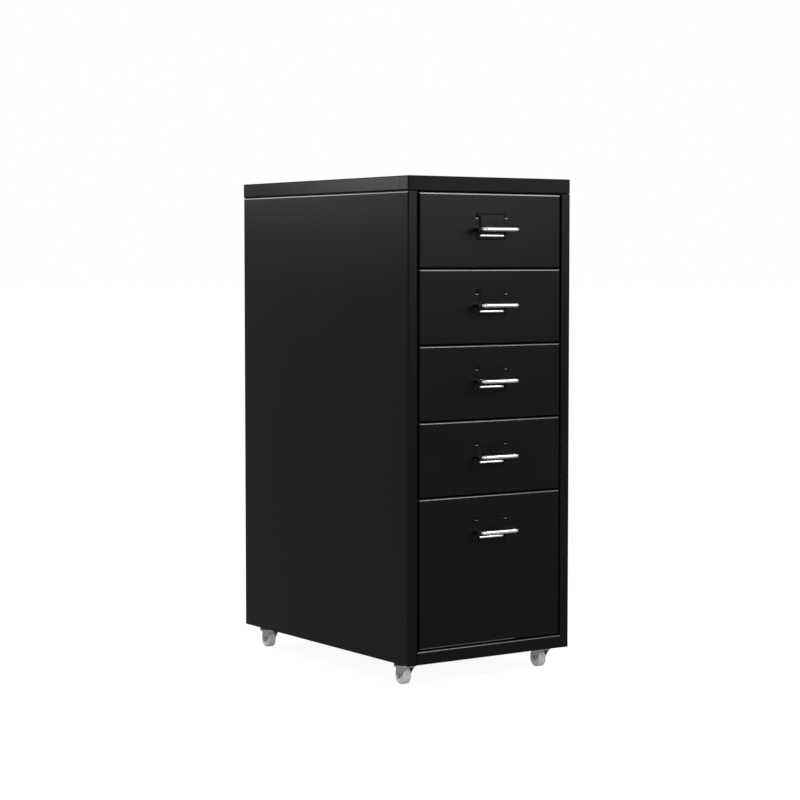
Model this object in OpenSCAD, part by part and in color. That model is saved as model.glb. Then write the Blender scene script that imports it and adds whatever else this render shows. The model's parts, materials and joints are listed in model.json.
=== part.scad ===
// Small drawer cabinet of folded sheet steel on four swivel casters.
// Millimetres. +Z is up, the drawers open towards -Y, and z = 0 is the floor.
// The origin is under the middle of the outline, wire pulls included.

/* [Body] */
// Width of the body
body_w = 275; // [250:1:360]
// Depth of the body, without the pulls
body_d = 430; // [380:1:560]
// Height of the body, without the casters
body_h = 657; // [560:1:800]
// Thickness of the body's sheet steel
sheet_t = 0.8; // [0.6:0.1:1.2]
// Inside radius of the body's folds
fold_r = 1.2; // [0.8:0.1:1.8]
// Inside radius of the side panels' top fold
side_top_r = 2.2; // [1:0.1:3]
// Depth of the lips that hang from the side panels' top folds
top_lip = 12; // [8:1:16]

/* [Lid] */
// Height of the lid's flanges
lid_h = 20; // [14:1:36]
// Width of the folds under the lid
lid_fold_w = 13; // [8:1:20]
// Length of the front flange's ears on the sides
lid_ear = 20; // [12:1:40]
// Width of the seam behind each ear
lid_seam = 0.5; // [0.3:0.1:1]

/* [Front frame] */
// Width of each side panel's front stile
stile_w = 15; // [14:0.5:20]
// Depth of the lips behind the stiles
stile_lip = 24; // [20:1:32]
// Height of the rail below the lowest drawer
rail_h = 18; // [12:1:30]
// Depth of the fold on top of the rail
rail_fold_w = 11; // [6:1:16]
// Height of the lip behind the rail's top fold
rail_lip = 6; // [3:1:8]
// Gap between the rail's ends and the stiles
rail_end_gap = 0.3; // [0.2:0.1:1]
// Height of the bottom panel's side and rear flanges
floor_flange = 14; // [8:1:18]

/* [Drawer fronts] */
// How many low drawers stand above the deep one
low_drawers = 4; // [2:1:4]
// Height of the deep drawer, in low drawers
deep_units = 2; // [1:1:3]
// Gap above and below each front
front_gap = 2.3; // [1.5:0.1:4]
// Gap between a front and the stiles
front_side_gap = 3.5; // [3:0.1:5]
// Depth of a front's folded sides
front_depth = 12.5; // [10:0.5:16]
// Width of the folds at a front's back
front_fold_w = 8; // [5:1:14]
// Inside radius of a front's long edges
front_edge_r = 1.2; // [0.8:0.1:2]
// Inside radius of a front's upright edges
front_side_r = 0.8; // [0.4:0.1:2]
// Inside radius of a front's corners, along its depth
front_corner_r = 0.5; // [0.3:0.1:2]

/* [Drawer trays] */
// Thickness of a tray's sheet steel
tray_t = 0.7; // [0.5:0.1:1]
// Distance from a tray's back wall to the back of the body
tray_rear_gap = 23.5; // [21:0.5:60]
// Height of a tray's floor above its front's lower edge
tray_lift = 5; // [3:1:12]
// Distance from a front's top edge down to its runners' ledges
hang_drop = 22; // [16:1:30]
// Gap between a tray's side and the tip of a ledge
tray_side_gap = 0.8; // [0.4:0.1:1.5]
// Gap between a tray's flange and a runner's web
flange_gap = 0.8; // [0.4:0.1:1.2]
// Width of the folds on top of the front and back walls
wall_fold_w = 6; // [4:1:12]
// How far a drawer slides out
drawer_travel = 300; // [200:5:320]

/* [Runners] */
// Thickness of a runner's sheet steel
runner_t = 0.8; // [0.6:0.1:1.2]
// Distance from the front plane to a runner's front end
runner_start = 14; // [13.5:0.5:16]
// Distance from a runner's back end to the back panel
runner_rear_gap = 13; // [10:0.5:14]
// Width of the ledge that carries a drawer
ledge_w = 9.5; // [8:0.5:12]
// Width of the guard above the drawer's flange
guard_w = 6; // [4:0.5:7]
// Clear height between ledge and guard
channel_h = 4.6; // [4.2:0.1:6]
// Width of a runner's hooks
hook_w = 6; // [4:0.5:7]
// Length of a hook's leg behind the lip
hook_leg = 4; // [3:0.5:6]
// Clearance of a hook in its slot and behind the lip
hook_clear = 0.3; // [0.1:0.1:0.5]
// Distance from a runner's end to its hook
hook_inset = 2; // [1:0.5:3]
// Height of the stop tab on a tray's flange
stop_tab_h = 2.6; // [2.2:0.1:2.8]
// Drop of the stop at a runner's front end
stop_drop = 1.9; // [1.7:0.1:2.2]
// Length of the stops
stop_len = 2.5; // [1.5:0.5:4]
// Clearance left at either end of a drawer's travel
stop_clear = 0.5; // [0.3:0.1:1]

/* [Label plates] */
// Width across a plate's ears
ear_span = 53.6; // [52:0.2:60]
// Height of the upper ears
ear_h = 6.6; // [6.2:0.1:8]
// Height of the lower ears
low_ear_h = 10; // [9:0.1:11]
// Width of a plate between its ears
plate_w = 43; // [40:0.2:44]
// Height of a plate
plate_h = 36.8; // [36:0.1:40]
// How far a plate stands off its drawer front
plate_proud = 2.6; // [2:0.1:2.6]
// Thickness of a plate
plate_t = 0.9; // [0.6:0.1:0.9]
// Distance from a front's top edge down to its plate
plate_drop = 26; // [25:1:28]
// Radius of a plate's corners at their foot
plate_r = 3.1; // [3.1:0.1:3.3]
// Width of the slot on top of a plate, where a card goes in
card_slot_w = 36; // [24:1:40]
// Depth of that slot
card_slot_d = 0.8; // [0.5:0.1:1]
// Height of the window that shows the card bar
window_h = 4; // [3.8:0.1:5]
// Distance from a plate's lower edge up to that window
window_rise = 4; // [3.6:0.1:4.6]
// Radius of the lanced lips below the upper ears
lip_r = 1.1; // [0.7:0.1:1.4]
// Length of the lanced lips
lip_len = 5.8; // [3:0.1:6]
// Gap between the lips and a plate
lip_gap = 0.3; // [0.2:0.1:1]

/* [Pulls] */
// Thickness of a pull's wire
pull_d = 6; // [4:0.5:8]
// Width of a pull across its bends
pull_w = 64; // [62:1:90]
// Gap between a pull's feet and the label plate
pull_gap = 1.9; // [0.5:0.1:3]
// How far a pull stands out from its drawer front
pull_reach = 27; // [20:1:40]
// Bend radius of a pull, at the middle of its wire
pull_bend = 6; // [4.5:0.5:8]
// Distance from a front's top edge down to its pull
pull_drop = 48.6; // [46:0.1:49]
// Thickness of the wire of a card bar
bar_d = 3.2; // [2.6:0.1:3.4]
// Width of a card bar
bar_w = 42.4; // [34:0.2:43]
// How far a card bar stands out from its drawer front
bar_reach = 3.6; // [3.5:0.1:5]
// Bend radius of a card bar, at the middle of its wire
bar_bend = 1.8; // [1.7:0.1:1.8]
// How much a wire's radius shrinks in its bends
bend_thin = 0.03; // [0.02:0.01:0.05]
// Step between a wire's radius and the radius of its riveted tenon
tenon_step = 0.8; // [0.4:0.1:1]
// Clearance around a tenon in its hole
tenon_clear = 0.05; // [0.02:0.01:0.2]
// How far a tenon's riveted head stands round it
rivet_rim = 1.3; // [0.8:0.1:2]
// Height of a tenon's riveted head
rivet_h = 1; // [0.6:0.1:2]

/* [Casters] */
// Height of the casters
caster_h = 32; // [32:0.5:45]
// Distance from the body's sides to the swivel pins
pin_inset_x = 21; // [19:0.5:40]
// Distance from the body's front and back to the swivel pins
pin_inset_y = 38; // [36:0.5:70]
// Direction in which the wheels trail at rest, from +X towards +Y
trail_angle = 85; // [0:5:355]
// How far the rear right wheel is turned from the direction of the others
rear_right_turn = 50; // [-180:5:180]
// Distance from a swivel pin to its wheel's axle
trail = 5; // [3:0.5:8]
// Wheel radius
wheel_r = 12.5; // [10:0.5:12.5]
// Wheel width
wheel_w = 12; // [8:0.5:14]
// Depth of the recess in a wheel's sides
wheel_recess = 1.6; // [0.8:0.1:2.5]
// Radius of the wheel's edges
wheel_edge_r = 2; // [1:0.5:3]
// Radius of a wheel's hub
hub_r = 4.2; // [3.5:0.1:5]
// Thickness of a wheel's tread
tread_t = 2.6; // [1.6:0.1:3.5]
// Width of the patch that the load presses flat on a wheel's tread
tread_flat = 1; // [0.4:0.1:1.2]
// Axle radius
axle_r = 2; // [1.5:0.1:2.5]
// Radius of the axles' heads
axle_head_r = 3.2; // [2.8:0.1:4]
// Height of the axles' heads
axle_head_h = 1; // [0.6:0.1:1.4]
// Running clearance round the axles and swivel pins
run_clear = 0.05; // [0.02:0.01:0.1]
// Clearance round the pins and axles where they are riveted in
fast_clear = 0.02; // [0.01:0.01:0.05]
// Gap between a wheel and each fork leg
leg_gap = 0.6; // [0.3:0.1:1.5]
// Thickness of a fork's sheet
fork_t = 1; // [0.8:0.1:1.4]
// Radius of a fork's crown
crown_r = 15.5; // [11:0.5:16.5]
// Height of the crown's skirt
skirt_h = 3.4; // [2:0.1:4]
// Radius of a fork leg's eye
eye_r = 4.5; // [4:0.1:6]
// Side of a caster's square plate
plate_side = 30; // [28:0.5:36]
// Thickness of a caster's plate
plate_thick = 1.5; // [1:0.1:2.5]
// Corner radius of a caster's plate
plate_corner_r = 3; // [1:0.5:5]
// Distance between the screws of a caster's plate
plate_pitch = 23; // [23:0.5:26]
// Swivel pin radius
pin_r = 2.5; // [2:0.1:3]
// Gap between a fork's crown and its pin's head
pin_gap = 0.15; // [0.1:0.05:0.3]
// Radius of a swivel pin's head
pin_head_r = 4.5; // [3.8:0.1:5]
// Height of a swivel pin's head
pin_head_h = 1.3; // [0.8:0.1:1.4]
// Gap between plate and crown, where the balls run
ball_gap = 1.6; // [1.4:0.1:2.4]
// Clearance of the balls in their gap
ball_clear = 0.06; // [0.04:0.01:0.1]
// Radius of the ring of balls
ball_ring_r = 8.5; // [7:0.5:9.5]
// Number of balls in a caster
balls = 8; // [6:1:12]

/* [Screws] */
// Radius of the panel screws
screw_r = 1.75; // [1.5:0.05:2]
// Radius of the panel screws' heads
screw_head_r = 3.4; // [3:0.1:4]
// Height of the panel screws' heads
screw_head_h = 2; // [1.4:0.1:2.6]
// Length of the screws under their heads
screw_len = 7; // [5:0.5:8]
// Radius of the caster screws
caster_screw_r = 1.5; // [1.2:0.05:1.8]
// Radius of the caster screws' heads
caster_head_r = 2.8; // [2.4:0.1:3]
// Height of the caster screws' heads
caster_head_h = 1; // [0.8:0.1:1.1]
// Clearance round a screw in its hole
screw_clear = 0.1; // [0.05:0.05:0.3]
// Screws in each column of the back panel
back_screws = 4; // [3:1:6]
// Distance from the panels' ends to the outermost screws
screw_end = 60; // [40:5:90]

/* [Hidden] */
$fn = 48;
cut = 1;                                       // how far a cutting tool runs past a face
bend_lap = 3;                                  // how far a wire's bends reach into its straights, in degrees
drawers = low_drawers + 1;
floor_z = caster_h;                            // underside of the body
top_z = floor_z + body_h;
lid_z = top_z - lid_h;                         // lower edge of the lid
rail_z = floor_z + rail_h;
rear_y = body_d - sheet_t;                     // back of the side panels
front_y = (pull_reach - body_d - screw_head_h) / 2;    // front plane, seen from the origin
opening_half = body_w / 2 - stile_w;
front_half = opening_half - front_side_gap;
tray_half = opening_half - ledge_w - tray_side_gap;
flange_half = opening_half - runner_t - flange_gap;
tray_end = body_d - tray_rear_gap;
runner_end = body_d - runner_rear_gap;
unit_h = (lid_z - rail_z - front_gap) / (low_drawers + deep_units);
pull_feet = plate_w + pull_d + 2 * pull_gap;
bar_feet = bar_w - bar_d;
bar_drop = plate_drop + plate_h - window_rise - window_h / 2;
lip_drop = plate_drop + ear_h + lip_gap + lip_r;
plate_z = floor_z - plate_thick;               // underside of the caster plates
crown_z = plate_z - ball_gap;                  // top of the forks
skirt_z = crown_z - skirt_h;
pin_head_z = crown_z - fork_t - pin_gap;
leg_in = wheel_w / 2 + leg_gap;                // inner face of a fork leg
leg_out = leg_in + fork_t;
axle_z = sqrt(wheel_r * wheel_r - tread_flat * tread_flat / 4);
CORNERS = [["front_left", -1, -1, 0], ["front_right", 1, -1, 0], ["rear_left", -1, 1, 0],
           ["rear_right", 1, 1, rear_right_turn]];
SIDES = ["left", "right"];
FRONT_PIECES = ["front", "tray", "pull", "label_plate", "card_bar"];
CASTER_PIECES = ["plate", "fork", "wheel", "axle"];

BLACK = [0.11, 0.11, 0.11];
PLATED = [0.82, 0.83, 0.85];
ZINC = [0.5, 0.5, 0.51];
LIGHT_GREY = [0.78, 0.78, 0.79];

function unit(v) = v / norm(v);
function front_top(i) = lid_z - front_gap - (i - 1) * unit_h;
function front_foot(i) = front_top(i) - (i == drawers ? deep_units : 1) * unit_h + front_gap;
function ledge_z(i) = front_top(i) - hang_drop;
function tray_foot(i) = front_foot(i) + tray_lift;

// ---- Drawing aids ----

// Drawings in (y, z), (x, z) and (x, y), run along the third axis
module along_x(x0, x1) { translate([x0, 0, 0]) rotate([90, 0, 90]) linear_extrude(x1 - x0) children(); }
module along_y(y0, y1) { translate([0, y1, 0]) rotate([90, 0, 0]) linear_extrude(y1 - y0) children(); }
module along_z(z0, z1) { translate([0, 0, z0]) linear_extrude(z1 - z0) children(); }

// A block from corner lo to corner hi
module block(lo, hi) { translate(lo) cube(hi - lo); }

// A rectangle with round corners, about its middle
module rounded_rect(w, h, r) {
    square([w - 2 * r, h], center = true);
    square([w, h - 2 * r], center = true);
    for (sx = [-1, 1], sy = [-1, 1])
        translate([sx * (w / 2 - r), sy * (h / 2 - r)]) circle(r);
}

// A block with round edges: r holds the radii of its edges along X, Y and Z
module round_block(lo, hi, r) {
    size = hi - lo;
    translate((lo + hi) / 2) intersection() {
        linear_extrude(size.z, center = true) rounded_rect(size.x, size.y, r.z);
        rotate([90, 0, 0]) linear_extrude(size.y, center = true) rounded_rect(size.x, size.z, r.y);
        rotate([90, 0, 90]) linear_extrude(size.x, center = true) rounded_rect(size.y, size.z, r.x);
    }
}

// A closed box folded from sheet of thickness t: r holds the inside radii of its folds
module folded_box(lo, hi, r, t) {
    wall = [t, t, t];
    difference() {
        round_block(lo, hi, r + wall);
        round_block(lo + wall, hi - wall, r);
    }
}

// The ring sector of one fold, from a to b round the corner point, both on the middle line
module fold_arc(a, corner, b, t, r) {
    middle = corner + unit((a - corner) + (b - corner)) * norm(a - corner) * sqrt(2);
    translate(middle) intersection() {
        difference() {
            circle(r + t);
            circle(r);
        }
        polygon([[0, 0], (a - middle) * 2, (a + b - 2 * middle) * 2, (b - middle) * 2]);
    }
}

// Sheet seen on edge: straight runs along its middle line, with square folds of inside radius r
module folded_strip(path, t, r) {
    last = len(path) - 1;
    back_off = r + t / 2;
    for (i = [0 : last - 1]) {
        run = unit(path[i + 1] - path[i]);
        from = path[i] + run * (i == 0 ? 0 : back_off);
        to = path[i + 1] - run * (i + 1 == last ? 0 : back_off);
        translate(from) rotate(atan2(run.y, run.x)) translate([0, -t / 2]) square([norm(to - from), t]);
        if (i > 0) {
            before = unit(path[i - 1] - path[i]);
            fold_arc(path[i] + before * back_off, path[i], from, t, r);
        }
    }
}

// A screw or rivet along Z: its head stands on z = 0, its shank reaches down
module screw(r, head_r, head_h, length) {
    rotate_extrude() polygon([
        [0, -length], [r / 2, -length], [r, -length + r], [r, 0], [head_r, 0],
        [head_r, head_h / 2], [head_r * 0.7, head_h], [0, head_h]]);
}

module screw_hole(r) {
    translate([0, 0, -screw_len - cut]) cylinder(h = screw_len + 2 * cut, r = r + screw_clear);
}

// ---- Cabinet body ----

module at_back_screws() {
    step = (lid_z - floor_z - 2 * screw_end) / (back_screws - 1);
    for (side = [-1, 1], k = [0 : back_screws - 1])
        translate([side * (body_w - stile_w) / 2, body_d, floor_z + screw_end + k * step])
            rotate([-90, 0, 0]) children();
}

module at_lid_screws() {
    for (side = [-1, 1], y = [screw_end, body_d - screw_end])
        translate([side * (body_w - stile_w) / 2, y, lid_z - sheet_t]) rotate([180, 0, 0]) children();
}

// The left side panel: a wall folded in at the front, top and back, with lips behind the folds
module side_panel() {
    outer = -body_w / 2;
    inner = outer + stile_w;
    color(BLACK) difference() {
        folded_box([outer, 0, 0], [inner, rear_y, lid_z], [fold_r, side_top_r, fold_r], sheet_t);
        block([outer - cut, -cut, -cut], [inner + cut, body_d, floor_z]);
        block([outer + sheet_t, sheet_t, floor_z - cut], [inner + cut, rear_y - sheet_t, floor_z + sheet_t]);
        block([inner - sheet_t - cut / 2, stile_lip, floor_z],
              [inner + cut, rear_y - stile_lip, lid_z - top_lip]);
        for (i = [1:drawers], y = hook_places())
            block([inner - sheet_t - cut, y - hook_clear, ledge_z(i) - runner_t],
                  [inner + cut, y + hook_w + hook_clear, ledge_z(i) + hook_leg + hook_clear]);
        at_back_screws() screw_hole(screw_r);
        at_lid_screws() screw_hole(screw_r);
    }
}

module right_side_panel() { mirror([1, 0, 0]) side_panel(); }

// The lid: a shallow folded box, open below, with a seam behind each ear of its front flange
module top_panel() {
    half = body_w / 2;
    color(BLACK) difference() {
        folded_box([-half, 0, lid_z], [half, body_d, top_z], [fold_r, fold_r, fold_r], sheet_t);
        block([-half + lid_fold_w, lid_fold_w, lid_z - cut],
              [half - lid_fold_w, body_d - lid_fold_w, lid_z + sheet_t + cut / 2]);
        for (side = [-1, 1])
            translate([side * half, lid_ear, lid_z])
                block([-2 * sheet_t, 0, -cut], [2 * sheet_t, lid_seam, lid_h - 2 * (fold_r + sheet_t)]);
        at_lid_screws() screw_hole(screw_r);
    }
}

module back_panel() {
    color(BLACK) difference() {
        along_y(rear_y, body_d) translate([0, (floor_z + lid_z) / 2])
            rounded_rect(body_w - 2 * (fold_r + sheet_t), lid_z - floor_z, fold_r);
        at_back_screws() screw_hole(screw_r);
    }
}

// The floor of the body, with the rail folded up along its front
module bottom_panel() {
    half = body_w / 2 - sheet_t;
    rail_half = opening_half - rail_end_gap;
    mid = sheet_t / 2;
    color(BLACK) difference() {
        union() {
            along_x(-rail_half, rail_half) folded_strip([
                [rail_fold_w, rail_z - rail_lip], [rail_fold_w, rail_z - mid], [mid, rail_z - mid],
                [mid, floor_z + mid], [rear_y - mid, floor_z + mid],
                [rear_y - mid, floor_z + floor_flange]], sheet_t, fold_r);
            along_y(stile_lip, rear_y - stile_lip) folded_strip([
                [mid - half, floor_z + floor_flange], [mid - half, floor_z + mid],
                [half - mid, floor_z + mid], [half - mid, floor_z + floor_flange]], sheet_t, fold_r);
            for (y = [[sheet_t, stile_lip], [rear_y - stile_lip, rear_y - sheet_t]])
                block([-half, y[0], floor_z], [half, y[1], floor_z + sheet_t]);
        }
        at_pins() at_plate_screws() screw_hole(caster_screw_r);
    }
}

module panel_screws() {
    color(ZINC) {
        at_back_screws() screw(screw_r, screw_head_r, screw_head_h, screw_len);
        at_lid_screws() screw(screw_r, screw_head_r, screw_head_h, screw_len);
    }
}

// ---- Runners ----

function hook_places() = [runner_start + hook_inset, runner_end - hook_inset - hook_w];

// The left runner: a channel for the tray's flange, with a stop at each end and hooks in the lips
module runner(i) {
    web = -opening_half;
    ledge = ledge_z(i);
    guard = ledge + channel_h;
    lip_back = web - sheet_t - hook_clear;
    mid = runner_t / 2;
    color(BLACK) {
        along_y(runner_start, runner_end) folded_strip([
            [web + guard_w, guard + mid], [web + mid, guard + mid],
            [web + mid, ledge - mid], [web + ledge_w, ledge - mid]], runner_t, mid);
        block([web + mid, runner_start, guard - stop_drop],
              [web + guard_w, runner_start + stop_len, guard + mid]);
        block([web + mid, tray_end + stop_clear, ledge - mid],
              [web + guard_w, tray_end + stop_clear + runner_t, guard + mid]);
        for (y = hook_places()) {
            block([lip_back - runner_t, y, ledge - runner_t], [web + runner_t, y + hook_w, ledge]);
            block([lip_back - runner_t, y, ledge - hook_leg], [lip_back, y + hook_w, ledge]);
        }
    }
}

module right_runner(i) { mirror([1, 0, 0]) runner(i); }

// ---- Drawers ----

// The front: a folded pan with holes for the wires' tenons and a lanced lip under each ear
module drawer_front(i) {
    top = front_top(i);
    foot = front_foot(i);
    lip_x = (plate_w + lip_len) / 2 + lip_gap;
    color(BLACK) difference() {
        union() {
            folded_box([-front_half, 0, foot], [front_half, front_depth, top],
                       [front_edge_r, front_corner_r, front_side_r], sheet_t);
            for (side = [-1, 1]) translate([side * lip_x, 0, top - lip_drop]) lanced_lip();
        }
        block([front_fold_w - front_half, front_depth - sheet_t - cut / 2, foot + front_fold_w],
              [front_half - front_fold_w, front_depth + cut, top - front_fold_w]);
        for (side = [-1, 1]) {
            translate([side * pull_feet / 2, 0, top - pull_drop]) tenon_hole(pull_d);
            translate([side * bar_feet / 2, 0, top - bar_drop]) tenon_hole(bar_d);
        }
    }
}

module lanced_lip() {
    straight = lip_len - 2 * lip_r;
    rotate([0, 90, 0]) {
        cylinder(h = straight, r = lip_r, center = true);
        for (side = [-1, 1]) translate([0, 0, side * straight / 2]) sphere(lip_r);
    }
}

module tenon_hole(d) {
    rotate([90, 0, 0]) cylinder(h = 4 * sheet_t, r = d / 2 - tenon_step + tenon_clear, center = true);
}

// The tray: floor and sides folded from one sheet, with flanges that hang in the runners
module drawer_tray(i) {
    low = tray_foot(i) + tray_t / 2;
    high = ledge_z(i) + tray_t / 2;
    side = tray_half - tray_t / 2;
    tab_y = runner_start + stop_len + drawer_travel + stop_clear;
    color(BLACK) {
        along_y(front_depth, tray_end) folded_strip([
            [-flange_half, high], [-side, high], [-side, low],
            [side, low], [side, high], [flange_half, high]], tray_t, tray_t);
        along_x(-side, side) folded_strip([
            [front_depth + tray_t / 2, low], [front_depth + tray_t / 2, high],
            [front_depth + wall_fold_w, high]], tray_t, tray_t);
        along_x(-side, side) folded_strip([
            [tray_end - tray_t / 2, low], [tray_end - tray_t / 2, high],
            [tray_end - wall_fold_w, high]], tray_t, tray_t);
        for (side = [-1, 1])
            translate([side * (opening_half - (guard_w + runner_t + flange_gap) / 2), tab_y + tray_t / 2,
                       high + stop_tab_h / 2])
                cube([guard_w - runner_t - 2 * flange_gap, tray_t, stop_tab_h + tray_t], center = true);
    }
}

// A wire bent to a U: its bar lies at the front, its arms run from the bends to the feet, which
// stand on y = 0 and are riveted through the sheet
module wire_handle(d, width, feet, reach, bend) {
    r = d / 2;
    middle = [width / 2 - r - bend, r - reach + bend];     // middle of the right bend
    to_middle = middle - [feet / 2, 0];
    far = norm(to_middle);
    lean = atan2(to_middle.x, -to_middle.y) + asin(bend / far);
    arm = sqrt(far * far - bend * bend);
    color(PLATED) {
        rotate([0, 90, 0]) translate([0, r - reach, 0]) cylinder(h = 2 * middle.x, r = r, center = true);
        for (side = [0, 1]) mirror([side, 0, 0]) {
            translate(middle) wire_bend(r - bend_thin, bend, -90 - bend_lap, lean + bend_lap);
            difference() {
                translate([feet / 2, 0, 0]) rotate([90, 0, lean]) translate([0, 0, -d])
                    cylinder(h = d + arm, r = r);
                block([feet / 2 - 2 * d, 0, -d], [feet / 2 + 2 * d, 2 * d, d]);
            }
            translate([feet / 2, 0, 0]) rotate([-90, 0, 0]) tenon(r - tenon_step);
        }
    }
}

// A bend of a wire round the origin, between two directions that are 90 to 120 degrees apart
module wire_bend(r, bend, from, to) {
    far = 2 * (bend + r);
    intersection() {
        rotate_extrude() translate([bend, 0]) circle(r);
        linear_extrude(4 * r, center = true) polygon([
            [0, 0], far * [cos(from), sin(from)], [far, -far], far * [cos(to), sin(to)]]);
    }
}

// The turned-down end of a wire, and the head that riveting gives it behind the sheet
module tenon(r) {
    translate([0, 0, -r / 2]) cylinder(h = sheet_t + r / 2, r = r);
    translate([0, 0, sheet_t]) cylinder(h = rivet_h, r = r + rivet_rim);
}

module drawer_pull(i) {
    translate([0, 0, front_top(i) - pull_drop]) wire_handle(pull_d, pull_w, pull_feet, pull_reach, pull_bend);
}

module drawer_card_bar(i) {
    translate([0, 0, front_top(i) - bar_drop]) wire_handle(bar_d, bar_w, bar_feet, bar_reach, bar_bend);
}

// A block with walls that slope in at 45 degrees, on z = 0: w, h and the corners' radius r are
// those of its foot, and proud is its height
module sloped_block(w, h, r, proud) {
    for (sx = [-1, 1], sy = [-1, 1])
        translate([sx * (w / 2 - r), sy * (h / 2 - r), 0]) cylinder(h = proud, r1 = r, r2 = r - proud);
    along_y(r - h / 2, h / 2 - r)
        polygon([[-w / 2, 0], [w / 2, 0], [w / 2 - proud, proud], [proud - w / 2, proud]]);
    along_x(r - w / 2, w / 2 - r)
        polygon([[-h / 2, 0], [h / 2, 0], [h / 2 - proud, proud], [proud - h / 2, proud]]);
}

// The solid of a label plate, its upper edge on y = 0, with every wall moved in by inset
module plate_block(inset, proud) {
    for (part = [[ear_span, ear_h, -ear_h / 2], [plate_w, plate_h, -plate_h / 2],
                 [ear_span, low_ear_h, low_ear_h / 2 - plate_h]])
        translate([0, part[2], 0])
            sloped_block(part[0] - 2 * inset, part[1] - 2 * inset, plate_r - inset, proud);
}

// A label plate: a shallow pressed pan against the front, with ears at both ends, a slot on top
// for a card and a window for the card bar
module drawer_label_plate(i) {
    inset = 1.4 * plate_t;                         // what a sloping wall takes, measured level
    low = window_rise - plate_h;
    color(BLACK) translate([0, 0, front_top(i) - plate_drop]) rotate([90, 0, 0]) difference() {
        plate_block(0, plate_proud);
        translate([0, 0, -cut]) plate_block(inset - cut, plate_proud - plate_t + cut);
        block([-card_slot_w / 2, -2 * inset, -cut], [card_slot_w / 2, cut, card_slot_d]);
        block([-plate_w / 2, low, -cut], [plate_w / 2, low + window_h, plate_proud + cut]);
    }
}

// ---- Casters ----

module at_pins() { for (corner = CORNERS) at_pin(corner) children(); }

module at_pin(corner) {
    out = [body_w / 2 - pin_inset_x, body_d / 2 - pin_inset_y];
    translate([corner[1] * out.x, body_d / 2 + corner[2] * out.y, 0]) children();
}

module at_plate_screws() {
    for (sx = [-1, 1], sy = [-1, 1])
        translate([sx * plate_pitch / 2, sy * plate_pitch / 2, plate_z]) rotate([180, 0, 0]) children();
}

module caster_screws() {
    color(ZINC) at_pins() at_plate_screws() screw(caster_screw_r, caster_head_r, caster_head_h, screw_len);
}

module caster_king_pins() {
    foot = pin_head_z - pin_head_h;
    edge = pin_head_h / 3;
    color(ZINC) at_pins() rotate_extrude() polygon([
        [0, foot], [pin_head_r - edge, foot], [pin_head_r, foot + edge], [pin_head_r, pin_head_z],
        [pin_r, pin_head_z], [pin_r, floor_z], [0, floor_z]]);
}

module caster_balls() {
    color(PLATED) at_pins() for (k = [1:balls])
        rotate(k * 360 / balls) translate([ball_ring_r, 0, crown_z + ball_gap / 2])
            sphere((ball_gap - ball_clear) / 2);
}

module caster_plate() {
    color(ZINC) difference() {
        along_z(plate_z, floor_z) rounded_rect(plate_side, plate_side, plate_corner_r);
        at_plate_screws() screw_hole(caster_screw_r);
        translate([0, 0, plate_z - cut]) cylinder(h = plate_thick + 2 * cut, r = pin_r + fast_clear);
    }
}

// Where the line from p that just misses the eye touches it, on the side given by s
function eye_touch(p, s) =
    let (d = [trail, axle_z] - p, far = norm(d), a = atan2(d.y, d.x) + s * asin(eye_r / far))
    p + sqrt(far * far - eye_r * eye_r) * [cos(a), sin(a)];

// The fork: a pressed crown with a skirt, and a tapering leg on either side of the wheel
module caster_fork() {
    hole_r = pin_r + run_clear;
    leg_half = sqrt(crown_r * crown_r - leg_out * leg_out) - fork_t / 3;   // corners inside the skirt
    leg_top = crown_z - fork_t;
    left = [-leg_half, skirt_z];
    right = [leg_half, skirt_z];
    color(ZINC) difference() {
        union() {
            rotate_extrude() polygon([
                [0, crown_z], [crown_r - fork_t, crown_z], [crown_r, crown_z - fork_t],
                [crown_r, skirt_z], [crown_r - fork_t, skirt_z],
                [crown_r - fork_t, crown_z - fork_t], [0, crown_z - fork_t]]);
            for (y = [-leg_out, leg_in]) along_y(y, y + fork_t) {
                polygon([[-leg_half, leg_top], left, eye_touch(left, -1), [trail, axle_z],
                         eye_touch(right, 1), right, [leg_half, leg_top]]);
                translate([trail, axle_z]) circle(eye_r);
            }
        }
        translate([0, 0, crown_z - fork_t - cut]) cylinder(h = fork_t + 2 * cut, r = hole_r);
        translate([trail, 0, axle_z]) rotate([90, 0, 0])
            cylinder(h = 2 * leg_out + cut, r = axle_r + fast_clear, center = true);
    }
}

module caster_axle() {
    color(ZINC) translate([trail, 0, axle_z]) rotate([90, 0, 0]) {
        cylinder(h = 2 * leg_out, r = axle_r, center = true);
        for (side = [0, 1]) mirror([0, 0, side]) translate([0, 0, leg_out])
            screw(axle_r, axle_head_r, axle_head_h, axle_r);
    }
}

module caster_wheel() {
    bore_r = axle_r + run_clear;
    tread_in = wheel_r - tread_t;
    color(LIGHT_GREY) difference() {
        translate([trail, 0, axle_z]) rotate([90, 0, 0]) rotate_extrude() difference() {
            union() {
                translate([bore_r, -wheel_w / 2]) square([wheel_r - wheel_edge_r - bore_r, wheel_w]);
                translate([bore_r, wheel_edge_r - wheel_w / 2])
                    square([wheel_r - bore_r, wheel_w - 2 * wheel_edge_r]);
                for (side = [-1, 1])
                    translate([wheel_r - wheel_edge_r, side * (wheel_w / 2 - wheel_edge_r)])
                        circle(wheel_edge_r);
            }
            for (side = [-1, 1])
                translate([(hub_r + tread_in) / 2, side * wheel_w / 2])
                    square([tread_in - hub_r, 2 * wheel_recess], center = true);
        }
        block([trail - wheel_r, -wheel_w, -cut], [trail + wheel_r, wheel_w, 0]);
    }
}

// ---- Assembly ----

module placed() { translate([0, front_y, 0]) children(); }
module at_corner(corner) { placed() at_pin(corner) children(); }

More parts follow.
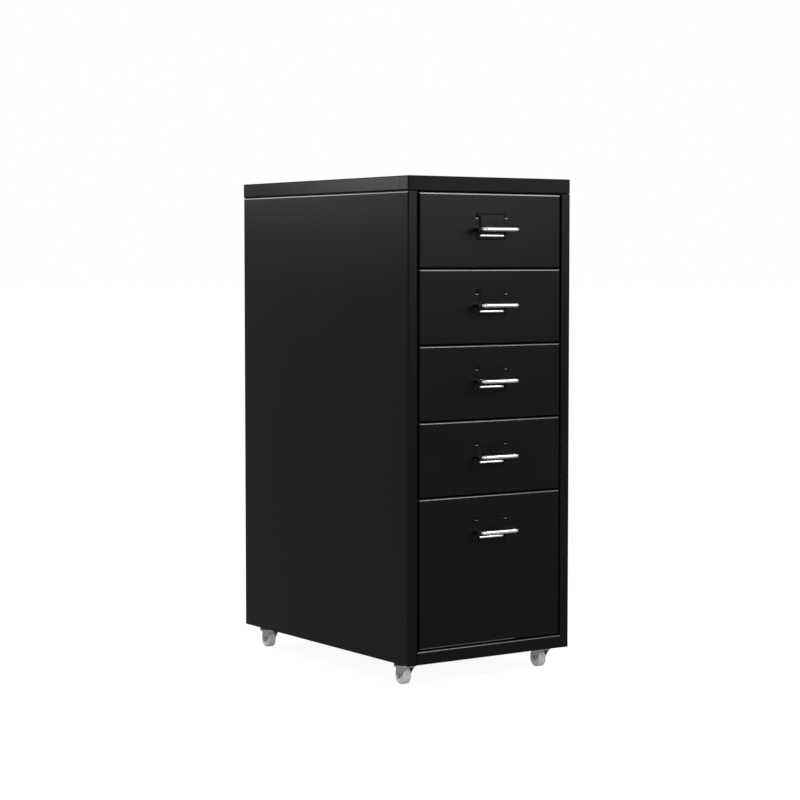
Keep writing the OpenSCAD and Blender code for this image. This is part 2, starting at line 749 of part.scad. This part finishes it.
placed() top_panel();
placed() side_panel();  // left_side_panel
placed() right_side_panel();
placed() back_panel();
placed() bottom_panel();
placed() panel_screws();
placed() caster_screws();
placed() caster_king_pins();
placed() caster_balls();
for (i = [1:drawers]) {
    placed() runner(i);
    placed() right_runner(i);
    placed() drawer_front(i);
    placed() drawer_tray(i);
    placed() drawer_pull(i);
    placed() drawer_label_plate(i);
    placed() drawer_card_bar(i);
}
for (corner = CORNERS) {
    name = str("caster_", corner[0]);
    turn = trail_angle + corner[3];
    at_corner(corner) caster_plate();
    at_corner(corner) rotate(turn) caster_fork();
    at_corner(corner) rotate(turn) caster_wheel();
    at_corner(corner) rotate(turn) caster_axle();
}
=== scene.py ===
import json
import math

import bmesh
import bpy
from mathutils import Matrix, Vector

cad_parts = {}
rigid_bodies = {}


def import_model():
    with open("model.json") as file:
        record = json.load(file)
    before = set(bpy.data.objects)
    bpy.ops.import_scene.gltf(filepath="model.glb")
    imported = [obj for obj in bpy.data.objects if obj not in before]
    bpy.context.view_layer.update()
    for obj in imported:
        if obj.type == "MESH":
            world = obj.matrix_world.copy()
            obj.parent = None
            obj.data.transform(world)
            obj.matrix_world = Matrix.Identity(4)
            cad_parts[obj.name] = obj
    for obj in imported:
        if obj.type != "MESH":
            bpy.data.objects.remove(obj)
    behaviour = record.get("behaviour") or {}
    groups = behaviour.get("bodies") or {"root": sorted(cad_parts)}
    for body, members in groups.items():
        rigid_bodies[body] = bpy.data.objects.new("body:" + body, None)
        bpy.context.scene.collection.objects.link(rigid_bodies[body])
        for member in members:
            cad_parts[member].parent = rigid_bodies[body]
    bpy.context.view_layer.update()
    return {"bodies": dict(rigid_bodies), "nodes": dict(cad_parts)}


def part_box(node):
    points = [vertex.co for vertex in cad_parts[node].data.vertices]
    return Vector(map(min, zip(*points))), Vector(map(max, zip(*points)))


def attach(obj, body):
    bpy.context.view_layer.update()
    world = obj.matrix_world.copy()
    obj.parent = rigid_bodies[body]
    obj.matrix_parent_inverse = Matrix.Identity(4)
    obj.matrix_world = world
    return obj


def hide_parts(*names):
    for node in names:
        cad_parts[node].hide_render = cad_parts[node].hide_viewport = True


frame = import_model()


# ---- Side, back and bottom panels ----
# Folded sheet steel, 0.8 mm thick, powder coated in a satin black after folding. The side panels
# stand on the bottom panel, and the back panel is screwed to their rear folds.

class Socket:
    """An output of a node. Arithmetic on it adds Math nodes behind it."""

    def __init__(self, graph, socket):
        self.graph = graph
        self.socket = socket

    def math(self, operation, *terms):
        return self.graph.node("Math", {"operation": operation}, dict(enumerate(terms)))

    def __add__(self, other):
        return self.math("ADD", self, other)

    def __rsub__(self, other):
        return self.math("SUBTRACT", other, self)

    def __mul__(self, other):
        return self.math("MULTIPLY", self, other)

    def __abs__(self):
        return self.math("ABSOLUTE", self)

    __radd__ = __add__
    __rmul__ = __mul__

    def larger(self, other):
        return self.math("MAXIMUM", self, other)

    def rise(self, low, high):
        """0 below low, 1 above high, and a smooth step between them."""
        return self.graph.node("MapRange", {"interpolation_type": "SMOOTHSTEP"}, {0: self, 1: low, 2: high})


class Graph:
    """A node tree that is built anew."""

    def __init__(self, tree):
        self.tree = tree
        tree.nodes.clear()

    def node(self, kind, settings=None, sockets=None, output=0):
        """Adds a node, sets it up, fills its sockets with values or links, and gives one output, if
        it has any."""
        made = self.tree.nodes.new("ShaderNode" + kind)
        for name, value in (settings or {}).items():
            setattr(made, name, value)
        for key, value in (sockets or {}).items():
            if isinstance(value, Socket):
                self.tree.links.new(value.socket, made.inputs[key])
            else:
                made.inputs[key].default_value = value
        return Socket(self, made.outputs[output]) if made.outputs else None


class Finish(Graph):
    """A material of one Principled shader. What is even all over is set at once, and what varies is
    fed in later. place is in metres and facing is where a face looks, both as the piece is at rest."""

    def __init__(self, name, even):
        self.material = bpy.data.materials.new(name)
        self.material.use_nodes = True
        super().__init__(self.material.node_tree)
        shader = self.node("BsdfPrincipled", {}, even)
        self.shader = shader.socket.node
        self.node("OutputMaterial", {}, {"Surface": shader})
        self.place = self.node("TexCoord", output="Object")
        self.facing = self.node("TexCoord", output="Normal")

    def feed(self, name, value):
        self.tree.links.new(value.socket, self.shader.inputs[name])

    def noise(self, size, detail=2.0, stretch=(1, 1, 1)):
        """Cloudy noise from 0 to 1 whose blots are about size metres wide, stretched along the axes."""
        squeezed = self.node("VectorMath", {"operation": "DIVIDE"}, {0: self.place, 1: stretch})
        return self.node("TexNoise", {}, {"Vector": squeezed, "Scale": 1 / size, "Detail": detail})

    def part(self, vector, axis):
        """One coordinate of a vector, such as the height of a place or how far a face looks up."""
        return self.node("SeparateXYZ", {}, {0: vector}, output="XYZ".index(axis))

    def mix(self, share, low, high):
        """The colour low where share is 0, and high where it is 1."""
        ends = [value if isinstance(value, Socket) else (*value, 1) for value in (low, high)]
        return self.node("Mix", {"data_type": "RGBA"}, {0: share, 6: ends[0], 7: ends[1]}, output=2)

    def bump(self, height, depth):
        """A relief that stands depth metres high where height is 1."""
        self.feed("Normal", self.node("Bump", {}, {"Height": height, "Distance": depth, "Strength": 1}))

    def on(self, *names):
        """Gives the finish to CAD nodes."""
        for name in names:
            slots = frame["nodes"][name].data.materials
            slots.clear()
            slots.append(self.material)


def grey(level):
    return (level, level, level)


satin_black = 0.0038
back_black = 0.008
edge_grey = 0.035
dust_colour = (0.021, 0.021, 0.020)


def powder_coat(name, black=satin_black, gloss=0.0, sheen=0.035, wear_and_highlight_mask=None, wear_and_highlight_grey=edge_grey, dusty=None):
    """Black powder coat: a fine orange peel, in a film that is a little duller in places.
    wear_and_highlight_mask and dusty are functions of the coat. The first gives a clear coat and turns the
    base colour to the grey wear_and_highlight_grey: real wear on the runners and trays, painted highlight
    on the edges of the outer panels and fronts, and painted sheen on the lid's flanges. dusty returns how
    far dust covers it."""
    coat = Finish(name, {"Specular IOR Level": sheen, "Coat Roughness": 0.28, "Coat IOR": 1.5})
    cloud = coat.noise(size=0.11)
    peel = coat.noise(size=0.0016) + 0.5 * coat.noise(size=0.0006)
    tint = coat.mix(cloud, grey(0.8 * black), grey(1.2 * black))
    if wear_and_highlight_mask:
        # Real wear on runners and trays; elsewhere this lighter grey is painted highlight or painted sheen.
        wear_and_highlight_share = wear_and_highlight_mask(coat)
        coat.feed("Coat Weight", wear_and_highlight_share)
        tint = coat.mix(wear_and_highlight_share, tint, grey(wear_and_highlight_grey))
    if dusty:
        tint = coat.mix(dusty(coat), tint, dust_colour)
    roughness = 0.33 - gloss
    coat.feed("Base Color", tint)
    coat.feed("Roughness", roughness + 0.06 * cloud)
    coat.bump(peel, depth=0.000007)
    return coat


def painted_edge_highlight(coat):
    """1 on the rounded edges that look up and out, where a lighter grey under a clear coat paints the
    highlight.
    """
    up = coat.part(coat.facing, "Z")
    past_the_wall = up.rise(0.05, 0.30)
    short_of_the_top = 1 - up.rise(0.93, 0.995)
    return past_the_wall * short_of_the_top


def painted_side_edge_highlight(coat):
    """The same, but not on the short edges at the front and back."""
    sideways = abs(coat.part(coat.facing, "X")).rise(0.05, 0.30)
    return painted_edge_highlight(coat) * sideways


# Painted highlight: a lighter grey on the up-facing folds of the sides and the bottom.
powder_coat("side_powder_coat", wear_and_highlight_mask=painted_side_edge_highlight).on("left_side_panel", "right_side_panel")
powder_coat("floor_powder_coat", wear_and_highlight_mask=painted_edge_highlight).on("bottom_panel")
powder_coat("back_powder_coat", black=back_black).on("back_panel")


# ---- Lid ----
# A shallow folded cap of the same steel. Its flanges rest on the side panels, and four screws
# from below hold it. Dust gathers on top and catches in the paint.

# The lid's coat has almost no gloss; this lighter black paints its sheen in its place.
painted_sheen_lid_black = 0.0095


def lid_dust(coat):
    """Dust in soft blots, only where the lid looks up."""
    looks_up = coat.part(coat.facing, "Z").rise(0.8, 1.0)
    blots = coat.noise(size=0.03, detail=6).rise(0.35, 0.8)
    return looks_up * blots


def painted_flange_sheen(coat):
    """Painted sheen on the side flanges, stronger towards the front: a lighter grey under a thin clear
    coat.
    """
    front_y, back_y = -0.22, 0.21
    near_front = 1 - coat.part(coat.place, "Y").rise(front_y, back_y)
    sideways = abs(coat.part(coat.facing, "X")).rise(0.9, 1.0)
    return sideways * (0.06 + 0.16 * near_front)


lid_coat = powder_coat("lid_powder_coat", painted_sheen_lid_black, sheen=0.004, wear_and_highlight_mask=painted_flange_sheen, dusty=lid_dust)
lid_coat.on("top_panel")


# ---- Runners ----
# Roll-formed channels hooked into slots of the side panels. The trays' flanges slide on their
# ledges and rub the coat down to the steel there.

painted_light_inner_black = 0.015    # lighter than the outer coat: painted light, so that the shaded insides show their shape
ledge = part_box("right_runner_1")[0].x    # from the cabinet's middle to a ledge's inner edge


def rub_marks(inner, outer):
    """Bare streaks along the travel, on the faces that look up and lie between two distances from
    the cabinet's middle."""
    soft_edge = 0.0008

    def wear_and_highlight_mask(coat):
        off_middle = abs(coat.part(coat.place, "X"))
        streaks = coat.noise(size=0.0012, stretch=(1, 60, 1)).rise(0.42, 0.62)
        looks_up = coat.part(coat.facing, "Z").rise(0.9, 0.99)
        past_inner = off_middle.rise(inner, inner + soft_edge)
        short_of_outer = 1 - off_middle.rise(outer, outer + soft_edge)
        return looks_up * streaks * past_inner * short_of_outer
    return wear_and_highlight_mask


runner_marks = rub_marks(inner=ledge + 0.0015, outer=ledge + 0.0075)
runner_coat = powder_coat("runner_powder_coat", black=painted_light_inner_black, wear_and_highlight_mask=runner_marks)
runner_coat.on(*(name for name in frame["nodes"] if "_runner_" in name))


# ---- Drawer fronts ----
# Folded pans with rounded long edges, and a lanced lip on either side of each label plate. A lighter
# grey paints the highlight on the upper edges, brightest on the top drawer, and on the deep front's lowest
# edge.

drawers = sorted(body for body in frame["bodies"] if body.startswith("drawer_"))
*low_drawers, deep_drawer = drawers
# Painted highlight: the lighter grey of each front's upper edges, brightest where the lamps fall most.
painted_highlight_greys = (0.20, 0.09, edge_grey, edge_grey)    # the upper edges, from the top drawer down
foot_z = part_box(deep_drawer + "_front")[0].z

for drawer, wear_and_highlight_grey in zip(low_drawers, painted_highlight_greys):
    powder_coat(drawer + "_powder_coat", wear_and_highlight_mask=painted_edge_highlight, wear_and_highlight_grey=wear_and_highlight_grey).on(drawer + "_front")


def painted_deep_front_highlights(coat):
    """Painted highlight on the upper edge, and on all of the lowest edge but its right part."""
    up = coat.part(coat.facing, "Z")
    at_foot = 1 - coat.part(coat.place, "Z").rise(foot_z + 0.0037, foot_z + 0.0057)
    painted_foot_highlight = (1 - up.rise(-0.30, -0.05)) * up.rise(-0.995, -0.93)
    left_part = 1 - coat.part(coat.place, "X").rise(0.036, 0.046)
    return painted_edge_highlight(coat) + painted_foot_highlight * at_foot * left_part


powder_coat("deep_front_powder_coat", wear_and_highlight_mask=painted_deep_front_highlights).on(deep_drawer + "_front")


# ---- Drawer trays ----
# Boxes folded from thinner sheet and welded at the corners. Each closes its front from behind and
# hangs in its runners by two flanges, which rub on them.

tray_marks = rub_marks(inner=ledge + 0.0005, outer=ledge + 0.008)
tray_coat = powder_coat("tray_powder_coat", black=painted_light_inner_black, wear_and_highlight_mask=tray_marks)
tray_coat.on(*(drawer + "_tray" for drawer in drawers))


# ---- Label plates ----
# Small pressed pans that hold a card against each front, under its lips. They are painted by
# dipping, so their film is a bit glossier than the powder coat.

plate_coat = powder_coat("label_plate_coat", gloss=0.08)
plate_coat.on(*(drawer + "_label_plate" for drawer in drawers))


# ---- Pulls and card bars ----
# Steel wire, bent to shape and nickel plated until it is bright. A darker grey on the faces that look
# down is painted shade. The turned ends go through holes in the fronts and are riveted behind them.

for piece, painted_shade_grey in (("_pull", 0.22), ("_card_bar", 0.45)):
    plating = Finish("bright_plating" + piece, {"Metallic": 1.0})
    haze = plating.noise(size=0.006)
    # Painted shade: the faces that look down turn to the darker grey.
    below = 1 - plating.part(plating.facing, "Z").rise(-0.30, 0.0)
    bright = plating.mix(haze, (0.50, 0.51, 0.52), (0.62, 0.62, 0.63))
    plating.feed("Base Color", plating.mix(below, bright, grey(painted_shade_grey)))
    plating.feed("Roughness", 0.05 + 0.07 * haze)
    plating.bump(plating.noise(size=0.004), depth=0.000006)
    plating.on(*(drawer + piece for drawer in drawers))


# ---- Screws ----
# Pan-head screws with a cross recess and a rolled thread, zinc plated. They hold the back panel,
# the lid and the casters.

screw_length = 0.007
thread_pitch = 0.0010
thread_rings = 40
turn_between = 2.4    # in radians, from one screw's cross to the next one's
# The head from its top down, in shares of its radius and height
dome = [(0.66, 0.99), (0.84, 0.86), (0.95, 0.62), (1.0, 0.32), (1.0, 0.0)]


def zinc_finish(name, dull):
    """Zinc plating: grey and dull, with faint cloudy stains."""
    zinc = Finish(name, {"Metallic": 1.0})
    stain = zinc.noise(size=0.004, detail=4)
    zinc.feed("Base Color", zinc.mix(stain, (0.13, 0.13, 0.135), (0.24, 0.24, 0.245)))
    zinc.feed("Roughness", dull + 0.14 * stain)
    zinc.bump(zinc.noise(size=0.0008), depth=0.00001)
    return zinc


def loose_parts(name):
    """The lowest and highest corner of each loose part of a CAD node, in a fixed order."""
    mesh = bmesh.new()
    mesh.from_mesh(frame["nodes"][name].data)
    bmesh.ops.remove_doubles(mesh, verts=mesh.verts, dist=1e-6)
    waiting = set(mesh.verts)
    boxes = []
    while waiting:
        reached = [waiting.pop()]
        part = []
        while reached:
            vert = reached.pop()
            part.append(tuple(vert.co))
            near = {edge.other_vert(vert) for edge in vert.link_edges} & waiting
            waiting -= near
            reached += near
        boxes.append((tuple(map(min, zip(*part))), tuple(map(max, zip(*part)))))
    mesh.free()
    return [(Vector(low), Vector(high)) for low, high in sorted(boxes)]


def cross_outline(head_r):
    """The cross recess in a head: its corners and the middle of each side, in order."""
    arm, reach = 0.14 * head_r, 0.52 * head_r
    half = [(arm, reach), (arm, arm), (reach, arm), (reach, -arm), (arm, -arm), (arm, -reach)]
    cross = half + [(-x, -y) for x, y in half]
    outline = []
    for (x, y), (next_x, next_y) in zip(cross, cross[1:] + cross[:1]):
        outline += [(x, y), ((x + next_x) / 2, (y + next_y) / 2)]
    return outline


def add_screw(mesh, place, head_r, head_h, shank_r):
    """Adds a pan-head screw to a mesh, put in place by a matrix. Along its own Z, its head stands on
    0 and its thread reaches down to a blunt point."""
    outline = cross_outline(head_r)
    around = len(outline)
    recess_depth, narrowing = 0.62 * head_h, 0.8
    recess_floor = [(narrowing * x, narrowing * y, head_h - recess_depth) for x, y in outline]
    recess_rim = [(x, y, head_h) for x, y in outline]
    rows = [[(head_r * across, head_h * up)] * around for across, up in dome]
    thread_depth = 0.12 * shank_r
    for step in range(thread_rings + 1):
        down = screw_length * step / thread_rings
        crest = min(shank_r, shank_r / 2 + (screw_length - down))
        phases = [(down / thread_pitch + k / around) % 1 for k in range(around)]
        rows.append([(crest - thread_depth * abs(2 * phase - 1), -down) for phase in phases])
    angles = [math.atan2(y, x) for x, y in outline]
    rings = [recess_floor, recess_rim]
    for row in rows:
        rings.append([(r * math.cos(angle), r * math.sin(angle), z) for (r, z), angle in zip(row, angles)])
    made = [[mesh.verts.new(place @ Vector(point)) for point in ring] for ring in rings]
    for upper, lower in zip(made, made[1:]):
        for k in range(around):
            mesh.faces.new((upper[k - 1], upper[k], lower[k], lower[k - 1]))
    mesh.faces.new(made[0])
    mesh.faces.new(made[-1][::-1])


def detailed_screws(node, head_r, head_h, shank_r, finish):
    """Puts a detailed screw where each plain one of a CAD node is. Those with their head to the back
    lie along Y, and the others point up."""
    mesh = bmesh.new()
    for k, (low, high) in enumerate(loose_parts(node)):
        middle = (low + high) / 2
        if high.y - low.y > high.x - low.x:
            seat = (middle.x, high.y - head_h, middle.z)
            heading = Matrix.Rotation(-math.pi / 2, 4, "X")
        else:
            seat = (middle.x, middle.y, low.z + head_h)
            heading = Matrix.Rotation(math.pi, 4, "X")
        turned = Matrix.Rotation(turn_between * k, 4, "Z")
        add_screw(mesh, Matrix.Translation(seat) @ heading @ turned, head_r, head_h, shank_r)
    bmesh.ops.recalc_face_normals(mesh, faces=mesh.faces)
    data = bpy.data.meshes.new(node + "_threaded")
    mesh.to_mesh(data)
    mesh.free()
    data.materials.append(finish.material)
    screws = bpy.data.objects.new(node + "_threaded", data)
    bpy.context.scene.collection.objects.link(screws)
    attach(screws, "cabinet")
    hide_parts(node)


screw_zinc = zinc_finish("screw_zinc", dull=0.26)
detailed_screws("panel_screws", head_r=0.0034, head_h=0.002, shank_r=0.00175, finish=screw_zinc)
detailed_screws("caster_screws", head_r=0.0028, head_h=0.001, shank_r=0.0015, finish=screw_zinc)


# ---- Casters ----
# A square plate and a fork are pressed from zinc-plated steel, with a ring of balls between them, a
# riveted swivel pin and a riveted axle. The wheels are moulded of pale grey plastic.

casters = ["caster_front_left", "caster_front_right", "caster_rear_left", "caster_rear_right"]

caster_zinc = zinc_finish("caster_zinc", dull=0.34)
for caster in casters:
    caster_zinc.on(caster + "_plate", caster + "_fork", caster + "_axle")
caster_zinc.on("caster_king_pins")

ball_steel = Finish("ball_steel", {"Metallic": 1.0})
ball_steel.feed("Base Color", ball_steel.mix(ball_steel.noise(size=0.001), grey(0.6), grey(0.7)))
ball_steel.on("caster_balls")

wheel_plastic = Finish("wheel_plastic", {"Specular IOR Level": 0.4})
scuff = wheel_plastic.noise(size=0.003, detail=4)
wheel_plastic.feed("Base Color", wheel_plastic.mix(scuff, (0.84, 0.84, 0.85), (0.94, 0.94, 0.94)))
wheel_plastic.feed("Roughness", 0.36 + 0.14 * scuff)
wheel_plastic.bump(wheel_plastic.noise(size=0.0007), depth=0.00001)
wheel_plastic.on(*(caster + "_wheel" for caster in casters))


# ---- Floor, light and camera ----
# A pale paper floor that runs out of sight in a pale room, five soft boxes and a long lens. The
# floor is seen from above only, so that the cabinet's underside shows from below.

floor_radius = 60
room_light = 0.42
paper_white = 0.17
shown_white = 1.01    # the paper in full light, as the camera sees it

disc = bmesh.new()
bmesh.ops.create_circle(disc, cap_ends=True, segments=96, radius=floor_radius)
floor_mesh = bpy.data.meshes.new("floor")
disc.to_mesh(floor_mesh)
disc.free()
floor = bpy.data.objects.new("floor", floor_mesh)
bpy.context.scene.collection.objects.link(floor)


def seen(graph):
    """1 for the rays that show a background: from the camera, off a gloss or through glass."""
    camera_ray, glossy_ray, glass_ray = [
        graph.node("LightPath", output=name)
        for name in ("Is Camera Ray", "Is Glossy Ray", "Is Transmission Ray")]
    return camera_ray.larger(glossy_ray).larger(glass_ray)


paper = bpy.data.materials.new("floor_paper")
paper.use_nodes = True
sheet = Graph(paper.node_tree)
glow = sheet.node("Emission", {}, {"Strength": (shown_white - room_light * paper_white) * seen(sheet)})
matt = sheet.node("BsdfDiffuse", {}, {"Color": (*grey(paper_white), 1)})
face = sheet.node("AddShader", {}, {0: glow, 1: matt})
from_below = sheet.node("NewGeometry", output="Backfacing")
one_sided = sheet.node("MixShader", {}, {0: from_below, 1: face, 2: sheet.node("BsdfTransparent")})
sheet.node("OutputMaterial", {}, {"Surface": one_sided})
floor_mesh.materials.append(paper)

world = bpy.data.worlds.new("studio")
bpy.context.scene.world = world
world.use_nodes = True
room = Graph(world.node_tree)
room_white = room.node("Background", {}, {
    "Color": (1, 1, 1, 1),
    "Strength": room_light + (1 - room_light) * seen(room)})
room.node("OutputWorld", {}, {"Surface": room_white})


def softbox(name, spot, aim, size, radiance):
    """A lamp that is a soft white rectangle at spot, facing aim. The camera doesn't see it."""
    width, height = size
    lamp = bpy.data.lights.new(name, "AREA")
    lamp.shape = "RECTANGLE"
    lamp.size = width
    lamp.size_y = height
    lamp.energy = radiance * math.pi * width * height
    box = bpy.data.objects.new(name, lamp)
    bpy.context.scene.collection.objects.link(box)
    box.location = spot
    box.rotation_euler = (Vector(aim) - Vector(spot)).to_track_quat("-Z", "Y").to_euler()
    box.visible_camera = False


softbox("sheen_light", spot=(0.398, -0.984, 0.852), aim=(0, -0.2, 0.55), size=(0.6, 0.4), radiance=14.0)
softbox("key_light", spot=(0.45, -1.15, 1.30), aim=(0, -0.2, 0.40), size=(0.5, 0.4), radiance=9.0)
softbox("side_light", spot=(-0.613, 0.732, 0.878), aim=(-0.14, 0, 0.5), size=(0.5, 0.4), radiance=6.5)
softbox("fill_light", spot=(-0.95, -1.35, 0.30), aim=(0, -0.1, 0.15), size=(0.7, 0.5), radiance=6.0)
softbox("rear_light", spot=(0.7, 1.6, 1.6), aim=(0, 0.2, 0.4), size=(1.0, 0.8), radiance=3.0)

lens = bpy.data.cameras.new("camera")
lens.lens = 98.4
lens.sensor_width = 36
camera = bpy.data.objects.new("camera", lens)
bpy.context.scene.collection.objects.link(camera)
camera.location = (-1.793, -2.590, 0.573)
pitch = math.radians(3.59)
yaw = math.radians(34.52)
camera.rotation_euler = (math.pi / 2 - pitch, 0, -yaw)
bpy.context.scene.camera = camera
bpy.context.scene.view_settings.view_transform = "Standard"
